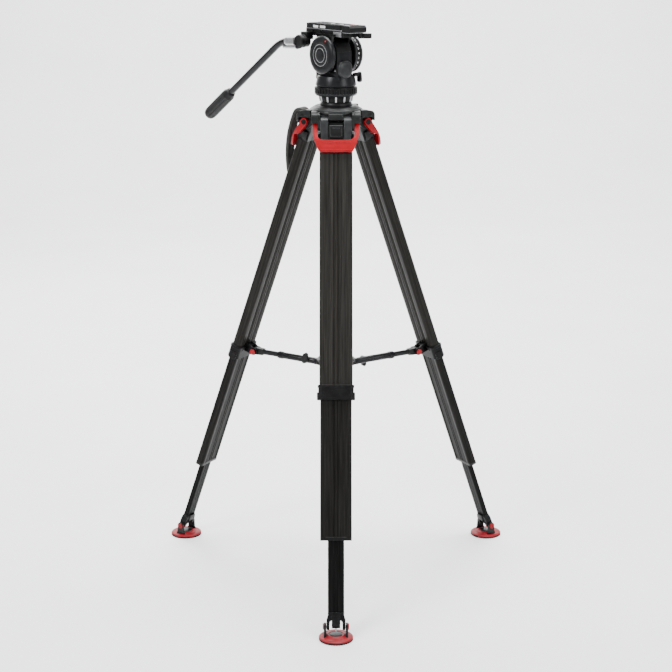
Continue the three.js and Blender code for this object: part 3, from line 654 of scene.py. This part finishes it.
# ------------------------------------------------------------------ crown and bowl
def crown():
    grey, black = Shell(), Shell()
    inside = [(37.5 * sin(radians(a)), -37.5 * cos(radians(a)) + BOWL_Z) for a in range(33, 90, 6)]
    outside = [(BOWL_R * sin(radians(a)), -BOWL_R * cos(radians(a)) + BOWL_Z) for a in range(84, 32, -6)]
    black.turned("z", inside + [(37.5, BOWL_Z), (BOWL_R, BOWL_Z)] + outside, sides=96, loop=True)
    black.turned("z", [(41, 1118), (57, 1118), (59, 1123.4), (56, 1127.4), (51, 1131), (46, 1133.2),
                       (41, 1133.2)], sides=96, loop=True)
    grey.turned("z", [(41, 1115), (61, 1115), (62.4, 1117), (62.4, 1121), (60.6, 1124.6), (57.6, 1127),
                      (41, 1127)], sides=96, loop=True)
    cheek = arc(-PIVOT_R, PIVOT_Z, 17, 290, 165, 20) + [(-70, 1117.4), (-66, 1121), (-30, 1124), (-24, 1122),
                                                         (-26, 1104), (-36, 1090)]
    cap = [(-72, 1099), (-72, 1112), (-70.4, 1117), (-66, 1121), (-50, 1124.4), (-36, 1124), (-36, 1107),
           (-66, 1107), (-68, 1105), (-68, 1099)]
    bridge = [(-52, 1115), (-30, 1115), (-30, 1124), (-56, 1123)]
    lug = [(-70, 1106), (-62, 1104.4), (-36, 1104.4), (-36, 1122), (-62, 1122), (-67, 1119.4), (-70, 1114)]
    for deg in AZIMUTH.values():
        place = around(deg)
        for sgn in (1, -1):
            for outline, near, far in ((cheek, 36.4, 42.2), (cap, 41.6, 56), (bridge, 14, 37.4)):
                grey.loft([[place(x, y, z) for y, z in outline] for x in span(sgn, near, far)])
        grey.loft([[place(x, y, z) for y, z in lug] for x in (-16.8, 16.8)])
    piece("crown_body", grey, CROWN_GREY, STAND, "crown", ["crown"], bevel=1.3, segments=3)
    piece("crown_dome", black, BLACK, STAND, "crown", bevel=0.5, segments=3)
    bolts = Shell()
    for deg in AZIMUTH.values():
        place = around(deg)
        for sgn in (1, -1):
            bolts.loft([[place(x, 3.6 * cos(a) - 58, 3.6 * sin(a) + 1113) for a in steps_round(24)]
                        for x in span(sgn, 56, 57.2)])
    piece("crown_bolts", bolts, BLACK, STAND, "crown", bevel=0.3)
    level = Shell()
    spot = (52 * cos(radians(30)), 52 * sin(radians(30)))
    level.turned("z", [(7, 1124), (7, 1131.6), (6, 1132.6), (5, 1132), (5, 1127)], spot, 40)
    piece("level_ring", level, BLACK, STAND, "crown", bevel=0.2)
    drop = Shell()
    drop.turned("z", [(5, 1127), (5, 1131), (3.6, 1132), (0, 1132.4)], spot, 32)
    piece("level_vial", drop, SPIRIT, STAND, "crown", bevel=0)


def bowl_parts():
    ball = Shell()
    skin = [(BALL_R * sin(radians(a)), -BALL_R * cos(radians(a)) + BOWL_Z) for a in range(44, 101, 6)]
    ball.turned("z", [(0, 1106.3), *skin, (34, 1142), (37, 1142), (37, 1144), (39.5, 1154), (40.5, 1155.2),
                      (0, 1155.2)], sides=96)
    ball.rod("z", 5, 1047, 1113)
    piece("ball_body", ball, BLACK, STAND, "ball", ["half_ball"], bevel=0.3)
    fins = Shell()
    for deg in range(0, 360, 30):
        place = around(deg)
        fins.loft([[place(r - depth, w, z) for w, depth in ((-2.4, 2.5), (2.4, 2.5), (2.0, 0), (-2.0, 0))]
                   for z, r in ((1142.4, 38.2), (1148, 39.2), (1155, 40.4))])
    piece("ball_fins", fins, ALLOY, STAND, "ball", bevel=0.3)
    cup = Shell()
    inner = [(46.8 * sin(radians(a)), -46.8 * cos(radians(a)) + BOWL_Z) for a in range(18, 43, 4)]
    outer = [(50 * sin(radians(a)), -50 * cos(radians(a)) + BOWL_Z) for a in range(42, 17, -4)]
    cup.turned("z", inner + outer, sides=72, loop=True)
    piece("cup_body", cup, BLACK, STAND, "cup", ["clamp_cup"], bevel=0.4)
    knob, rings = Shell(), []
    for r, z, depth in ((13, -88, 0.0), (15.6, -87, 0.12), (17, -84, 0.2), (16, -76, 0.2), (15, -70, 0.16),
                        (11, -64, 0.05), (9, -60, 0.0), (9, -51, 0.0)):
        rings.append([(x, y, z + BOWL_Z) for x, y in fluted(r, depth, 6, 96)])
    knob.loft(rings)
    piece("knob_body", knob, BLACK, STAND, "tie_knob", ["tie_down_knob"], bevel=0.5)


# ------------------------------------------------------------------ head
def pan_stage():
    base = Shell()
    base.turned("z", [(0, 1155.6), (41, 1155.6), (41, 1176), (43.4, 1176), (44, 1176.5), (44, 1178),
                      (0, 1178)], sides=96)
    piece("pan_base_body", base, BLACK, STAND, "ball", ["pan_base"], bevel=0.3)
    ring = Shell()
    ring.prism("z", toothed(RING_OUT, 2.0, RING_TEETH, 0.52), 1161.4, 1174.4)
    ring.turned("z", [(41.5, 1158), (48.4, 1158), (48.4, 1162), (41.5, 1162)], sides=96, loop=True)
    ring.turned("z", [(41.5, 1173), (48.8, 1173), (48.8, 1174.8), (48.2, 1175.4), (41.5, 1175.4)], sides=96,
                loop=True)
    piece("pan_ring_body", ring, BLACK, STAND, "pan_ring", ["pan_drag_ring"], bevel=0.5)
    # The chamfer below the drag ring is satin grey, lighter than the black ring: a painted highlight for the
    # bright line along the ring's lower edge.
    chamfer_highlight = Shell()
    chamfer_highlight.turned("z", [(41.5, 1155.6), (45.4, 1155.6), (49.3, 1159.4), (49.3, 1161.6), (41.5, 1161.6)],
                  sides=96, loop=True)
    piece("pan_ring_chamfer", chamfer_highlight, SATIN, STAND, "pan_ring", bevel=0.4)


def squared(value):
    """A cosine or sine pushed towards a squarer outline."""
    return abs(value) ** 0.85 * (1 if value > 0 else -1)


def housing():
    s = Shell()
    s.turned("z", [(0, 1178.4), (46, 1178.4), (47, 1179.4), (46.8, 1182), (45, 1190), (43.6, 1197),
                   (42, 1201), (38, 1203.4), (0, 1203.4)], sides=96)
    outline = [(-40, 1192), (-38.4, 1236)] + arc(0, TILT_Z, 38, 190, -10, 40) + [(38.4, 1236), (40, 1192)]
    s.prism("x", outline, -16, 27.5)
    piece("housing_body", s, HEAD_GREY, HEAD, "pan", ["pan_housing"], bevel=2.4, segments=4)
    band = Shell()
    band.prism("x", arc(0, TILT_Z, 38.5, 100, 12, 24) + arc(0, TILT_Z, 36, 12, 100, 24), -15, 26.5)
    piece("housing_band", band, BLACK, HEAD, "pan", bevel=0.4)
    shield, rings = Shell(), []
    for y, k in ((34, 1.0), (39, 1.0), (42, 0.97), (44.4, 0.88), (45.7, 0.7), (46.2, 0.4)):
        r = k * SHIELD_R
        rings.append([(SHIELD_X + r * squared(cos(a)), y, SHIELD_Z + r * squared(sin(a)))
                      for a in steps_round(72)])
    shield.loft(rings + [[(SHIELD_X, 46.3, SHIELD_Z)]])
    piece("housing_shield", shield, SATIN, HEAD, "pan", bevel=0, angle=50)
    rim = Shell()
    outlines = [(y, arc(SHIELD_X, SHIELD_Z, k * SHIELD_R, 0, 355, 71))
                for y, k in ((34, 1.09), (38.4, 1.09), (39.4, 1.05), (39.4, 1.0), (34, 1.0))]
    rim.loft([[(x, y, z) for x, z in outline] for y, outline in outlines], loop=True)
    piece("shield_rim", rim, BLACK, HEAD, "pan", bevel=0, angle=40)
    screws = Shell()
    for y, z in ((-30, 1216), (30, 1216)):
        screws.bolt("x", 2.6, 27.3, 28.6, (y, z))
    piece("housing_screws", screws, STEEL, HEAD, "pan", bevel=0.15)
    axle = Shell()
    axle.rod("x", 8, -46, 46, (0, TILT_Z), edge=0.5)
    piece("axle_body", axle, ALLOY, HEAD, "tilt", ["tilt_axle"], bevel=0)


def discs():
    left = Shell()
    left.turned("x", [(AXLE_R, 35.4), (43, 35.4), (DISC_R, 36.4), (DISC_R, 41.6), (42.6, 44), (40, 45.6),
                      (37, DISC_FACE), (33, 46.9), (27.6, 47.1), (26.4, DISC_FACE), (AXLE_R, 46.4)],
                (0, TILT_Z), 96, loop=True)
    piece("balance_disc_body", left, HEAD_GREY, HEAD, "cb_disc", ["counterbalance_disc"], bevel=0.35)
    cap = Shell()
    cap.turned("x", [(0, 46.2), (22.9, 46.2), (22.9, 46.8), (22, 47.2), (17, 47.2), (16.4, 46.9),
                     (15.6, 46.9), (15, 47.3), (9, 47.5), (0, 47.5)], (0, TILT_Z), 72)
    piece("balance_disc_cap", cap, HEAD_GREY, HEAD, "cb_disc", bevel=0.15)
    band, half, top = Shell(), 0.7, 47.45
    for r in (24.6, 16.0):
        band.turned("x", [(r - half, DISC_FACE), (r + half, DISC_FACE), (r + half, top), (r - half, top)],
                    (0, TILT_Z), 96, loop=True)
    piece("balance_disc_ring", band, ALLOY, HEAD, "cb_disc", bevel=0.1)
    dot, dot_at = Shell(), radians(60)
    dot.turned("x", [(0, 45.4), (1.5, 45.4), (1.5, 47.2), (0, 47.2)],
               (37.5 * cos(dot_at), TILT_Z + 37.5 * sin(dot_at)), 32)
    piece("balance_index_dot", dot, RED_INK, HEAD, "cb_disc", bevel=0.2)
    right = Shell()
    right.turned("x", [(AXLE_R, -25), (40, -25), (40.4, -28.4), (41.2, -28.6), (41.2, -40), (AXLE_R, -40)],
                 (0, TILT_Z), 96, loop=True)
    piece("drag_ring_body", right, BLACK, HEAD, "drag_ring", ["tilt_drag_ring"], bevel=0.25)
    rims = Shell()
    rims.turned("x", [(38, -25.2), (43, -25.2), (43.2, -26), (43.2, -27.6), (42.4, -28.6), (38, -28.6)],
                (0, TILT_Z), 96, loop=True)
    rims.turned("x", [(AXLE_R, -39.6), (42.6, -39.6), (43.4, -40.4), (43.2, -43.6), (41.6, -45.6),
                      (39, -47.4), (30, -47.5), (28, -46.8), (AXLE_R, -46.6)], (0, TILT_Z), 96, loop=True)
    piece("drag_ring_rims", rims, SATIN, HEAD, "drag_ring", bevel=0.3)
    upright = shift(0, 41.25, 0) @ turn(-90, "X") @ turn(180, "Z")
    for i in range(8):
        place = HEAD @ shift(-34.3, 0, TILT_Z) @ turn(64 - 15 * i, "X") @ upright
        lettering(f"drag_figure_{i}", str(i), 7.0, WHITE, place, "drag_ring")


def platform():
    s = Shell()
    s.prism("y", [(-22.6, 1290), (22.6, 1290), (22.6, 1304), (14.6, 1304), (14.6, 1296.6), (-14.6, 1296.6),
                  (-14.6, 1304), (-22.6, 1304)], -79, 53)
    for sgn in (1, -1):
        x0, x1 = span(sgn, 21.5, PLATE_X)
        s.box(x0, x1, -80, 55, 1290, 1293.4)
        s.box(*span(sgn, 15.2, PLATE_X), -80, 52, 1302.6, 1305)
        for y0, y1 in ((-80, -54), (-34, -27), (-8, 18), (50, 55)):
            s.box(x0, x1, y0, y1, 1293, 1303)
    s.prism("x", [(51, 1299), (55, 1299), (58, 1302), (77, 1302), (80, 1305), (80, 1313), (75.4, PLATE_TOP),
                  (71.6, PLATE_TOP), (71.6, 1311), (58.4, 1311), (58.4, PLATE_TOP), (51, PLATE_TOP)],
            -PLATE_X, PLATE_X)
    for sgn in (1, -1):
        s.box(*span(sgn, 9.4, 24.3), 58, 72, 1310, PLATE_TOP)
    web = [(-30, 1297), (30, 1297), (24, 1276)] + arc(0, TILT_Z, 20, 30, -210, 30) + [(-24, 1276)]
    for x0, x1 in ((28, 35), (-23, -16.5)):
        s.prism("x", web, x0, x1)
    s.box(22, 35, -30, 30, 1292, 1297)
    s.box(22, 40, BAR_Y - 12, BAR_Y + 12, 1281, 1297.6)
    s.rod("x", 14, 30, 40, (BAR_Y, BAR_Z), edge=0.6)
    piece("platform_body", s, BLACK, HEAD, "tilt", ["platform"], bevel=0.8, segments=3)
    rails = Shell()
    rails.box(21.8, 24.9, 20, 49, 1291, 1302.4)
    for k in range(7):
        rails.box(24.2, 25.3, 22 + 3.8 * k, 24 + 3.8 * k, 1292, 1301.4)
    piece("platform_block", rails, ALLOY, HEAD, "tilt", bevel=0.3)
    # Plain white boxes in the plate's side slots, painted light standing in for the bright backdrop seen
    # through them, not white print.
    slots = Shell()
    for sgn in (1, -1):
        slots.box(*span(sgn, 24.1, 24.7), -53, -35, 1308.4, 1313.6)
        slots.box(*span(sgn, 24.1, 24.7), -28, -9, 1308.4, 1313.6)
    piece("plate_slots_painted_backdrop", slots, WHITE, HEAD, "plate", bevel=0.2)
    # Thin alloy strips along the plate's lower edge and under the front end piece: painted highlight lines
    # standing in for the light caught on those edges.
    line = Shell()
    edge = ([(24.7, -79), (24.7, 46)] + arc(18.7, 46, 6, 0, 90, 8) + arc(-18.7, 46, 6, 90, 180, 8)
            + [(-24.7, -79)])
    line.prism("z", edge, 1305.2, 1306.5)
    line.box(-24.7, 24.7, 53, 79, 1301.6, 1302.6)
    piece("plate_edge_highlight_strip", line, ALLOY, HEAD, "tilt", bevel=0.3)
    plate = Shell()
    top = ([(22.5, -79.6), (24.4, -77.6), (24.4, 46)] + arc(18.4, 43.8, 6, 0, 90, 8)
           + arc(-18.4, 43.8, 6, 90, 180, 8) + [(-24.4, -77.6), (-22.5, -79.6)])
    plate.prism("z", top, 1306.6, 1317.6)
    plate.box(-14, 14, -78, 48, 1297, 1307)
    piece("plate_body", plate, BLACK, HEAD, "plate", ["camera_plate"], bevel=1.0, segments=3)
    pads = Shell()
    for x0, x1 in ((-21, -6.5), (6.5, 21)):
        for k in range(2):
            pads.box(x0, x1, -74 + 60 * k, -18 + 60 * k, 1317.0, 1318.35)
    piece("plate_pads", pads, SOLE, HEAD, "plate", bevel=0.3)
    screw = Shell()
    for y in (-10, 20):
        screw.turned("z", [(5.4, 1317.2), (5.4, 1318.2), (4.6, 1318.4), (1.6, 1318.4)], (0, y), 32)
    piece("plate_screws", screw, STEEL, HEAD, "plate", bevel=0)
    button = Shell()
    button.box(-9, 9, 59, 71, 1313, 1319.6)
    piece("plate_button_body", button, RED, HEAD, "plate_button", ["plate_release_button"], bevel=0.8,
          segments=3)
    lever = Shell()
    lever.rod("z", 5.8, 1288, 1301, (-18, 66), edge=0.5)
    path = smooth_path([(-20, 66, 1294), (-21, 72, 1294), (-24, 79, 1294), (-31, 83, 1294), (-36.6, 81, 1294),
                        (-35, 76, 1294), (-28, 70, 1294), (-21, 64, 1294)], 5)
    lever.sweep(path, rounded(11.5, 3.4, 1.5, 4), (0, 0, 1))
    piece("plate_lever_body", lever, BLACK, HEAD, "plate_lever", ["plate_lock_lever"], bevel=0.3)


def small_lever(name, body, node, y, z):
    s = Shell()
    s.rod("x", 4.5, -47, -28, at=(y, z), edge=0.4)
    tab = arc(y, z, 5.6, 10, 170, 10) + [(y - 5.8, z - 8), (y - 6, z - 15), (y - 3, z - 18), (y + 4, z - 18),
                                         (y + 7, z - 14)]
    s.prism("x", tab, -48, -42)
    piece(name, s, BLACK, HEAD, body, [node], bevel=1.0, segments=3)


# ------------------------------------------------------------------ pan bar
def pan_bar():
    clamp = Shell()
    clamp.turned("x", [(3, 40.4), (14.4, 40.4), (15, 41), (15, 46), (13.6, 46.8), (13.6, 48.2), (15, 49),
                       (15, 56.4), (13.6, 58), (0, 58)], (BAR_Y, BAR_Z), 72)
    direction = Vector((0, -67, -3.5)).normalized()
    start = Vector((BAR_X, BAR_Y, BAR_Z)) + direction * 6
    frame_m = HEAD @ Matrix.Translation(start * MM) @ direction.to_track_quat("Y", "Z").to_matrix().to_4x4()
    piece("clamp_body", clamp, BLACK, HEAD, "bar", bevel=0.3)
    socket = Shell()
    socket.prism("y", rounded(18.6, 19, 5), 5, 36)
    socket.turned("y", [(8.6, 35), (9.6, 36), (9.6, 40), (8.6, 41)], sides=48)
    for y in (12, 18, 24, 30):
        socket.prism("y", rounded(19.4, 19.8, 5.4), y, y + 1.6)
    piece("clamp_socket", socket, ALLOY, frame_m, "bar", ["rosette_clamp"], bevel=0.5)
    screw = Shell()
    screw.turned("y", [(3.6, 2), (4.2, 3), (4.2, 52), (3.4, 53), (0, 53)], (0, -13), 40)
    screw.box(-5, 5, 14, 26, -14, -8)
    piece("clamp_screw", screw, ALLOY, frame_m, "bar", bevel=0.3)
    tip = Shell()
    tip.turned("y", [(0, -14), (2.6, -13.6), (3.4, -10), (5.2, 0), (5.6, 2.6), (4.4, 3.4), (0, 3.4)],
               (0, -13), 40)
    piece("clamp_screw_tip", tip, BLACK, frame_m, "bar", bevel=0.2)
    bend, end = Vector(BAR_BEND), Vector(BAR_END)
    away = (end - bend).normalized()
    into = (Vector((BAR_X, BAR_Y, BAR_Z)) - bend).normalized()
    points = [bend + into * 48]
    for k in range(13):
        t = k / 12
        points.append((1 - t) ** 2 * (bend + into * BEND_REACH) + 2 * t * (1 - t) * bend
                      + t ** 2 * (bend + away * BEND_REACH))
    total = (end - bend).length
    points += [bend + away * (total * k / 10) for k in (1, 3, 5, 7, 9.4)]
    bar = Shell()
    bar.tube(points, BAR_R, 48, (1, 0, 0))
    piece("bar_tube", bar, TUBE_BLACK, HEAD, "bar", ["pan_bar"], bevel=0.3)
    at = bend + away * (total - GRIP_LENGTH)
    grip_m = HEAD @ Matrix.Translation(at * MM) @ away.to_track_quat("Y", "Z").to_matrix().to_4x4()
    grip = Shell()
    sections = [(9.0, 0, 0), (11.2, 1.2, 0), (12.4, 5, 0), (13.2, 9, 0), (15.0, 13, 0), (15.4, 15, 0.0),
                (15.5, 18, 0.09)]
    sections += [(15.5, 18 + 11.5 * k, 0.09) for k in range(1, 8)]
    sections += [(15.4, 101.4, 0.0), (15.3, 104, 0), (15.0, 108, 0), (14.0, 112, 0), (12.0, 115.4, 0),
                 (8.6, 117.6, 0), (4, GRIP_LENGTH, 0)]
    grip.loft([[(x, y, z) for x, z in fluted(r, depth, 10, 160, 0.5)] for r, y, depth in sections])
    piece("grip_body", grip, GRIP, grip_m, "bar", ["pan_bar_grip"], bevel=0)


# ------------------------------------------------------------------ the object
for side_name, leg_matrix in LEG.items():
    for part in (leg_head, upper_tube, mid_tube, lower_tube, collar, brake_lever, angle_latch, foot):
        part(side_name, leg_matrix)
    foot_pad(side_name)
    spreader(side_name, leg_matrix, ARM[side_name])
carry_handle(LEG["left"])
hub()
crown()
bowl_parts()
pan_stage()
housing()
discs()
platform()
small_lever("pan_brake_body", "pan_lever", "pan_brake_lever", 30, 1203)
small_lever("tilt_brake_body", "tilt_lever", "tilt_brake_lever", -30, 1203)
pan_bar()


# ------------------------------------------------------------------ floor, light and camera
FLOOR_FRONT, FLOOR_BACK, SWEEP_R, WALL_TOP, HALF_WIDTH = -9, 5, 3, 12, 14


def studio():
    """A floor that curves up into a backdrop."""
    mesh = bpy.data.meshes.new("floor_sweep")
    bm = bmesh.new()
    rows = [(y, 0) for y in (FLOOR_FRONT, -4, 0, 3, FLOOR_BACK)]
    rows += arc(FLOOR_BACK, SWEEP_R, SWEEP_R, -80, 0, 8) + [(FLOOR_BACK + SWEEP_R, WALL_TOP)]
    strips = [[bm.verts.new((x, y, z)) for x in (-HALF_WIDTH, HALF_WIDTH)] for y, z in rows]
    for a, b in zip(strips, strips[1:]):
        bm.faces.new((a[0], a[1], b[1], b[0]))
    bm.to_mesh(mesh)
    mesh.polygons.foreach_set("use_smooth", [True] * len(mesh.polygons))
    mesh.materials.append(new_material("pale_floor", (0.86, 0.862, 0.865), (0.9, 0.902, 0.904), (0.55, 0.7),
                                       patch=2, grain=90, bump=0.04))
    floor = bpy.data.objects.new("floor_sweep", mesh)
    bpy.context.scene.collection.objects.link(floor)


def area(name, place, aim, size, power):
    light = bpy.data.lights.new(name, "AREA")
    light.shape = "RECTANGLE"
    light.size, light.size_y = size
    light.energy = power
    obj = bpy.data.objects.new(name, light)
    obj.location = place
    obj.rotation_euler = (Vector(aim) - Vector(place)).to_track_quat("-Z", "Y").to_euler()
    bpy.context.scene.collection.objects.link(obj)


studio()
area("key_light", (-2.4, -2.6, 3.2), (0, 0.1, 0.9), (1.4, 1.4), 150)
area("fill_light", (2.8, -2.4, 2.2), (0, 0.1, 0.7), (1.6, 1.6), 60)
area("top_light", (0.2, 0.4, 3.6), (0, 0.1, 0.8), (2.0, 2.0), 260)
area("back_light", (-1.6, 3.0, 2.4), (0, 0.1, 0.9), (1.6, 1.6), 60)
area("backdrop_light", (0, 3.2, 5.2), (0, 8, 1.2), (5, 2), 900)

world = bpy.data.worlds.new("studio_world")
world.use_nodes = True
sky = world.node_tree.nodes["Background"]
sky.inputs["Color"].default_value = (0.97, 0.98, 1.0, 1)
sky.inputs["Strength"].default_value = 0.7
bpy.context.scene.world = world

CAMERA_BACK, CAMERA_HEIGHT, CAMERA_DOWN = 4.154, 1.625, 14.09
camera_data = bpy.data.cameras.new("camera")
camera_data.lens = 96.2
camera_data.sensor_width = 36
camera_data.clip_end = 60
camera = bpy.data.objects.new("camera", camera_data)
camera.location = (0, PAN_Y * MM - CAMERA_BACK, CAMERA_HEIGHT)
camera.rotation_euler = (radians(90 - CAMERA_DOWN), 0, 0)
bpy.context.scene.collection.objects.link(camera)
bpy.context.scene.camera = camera
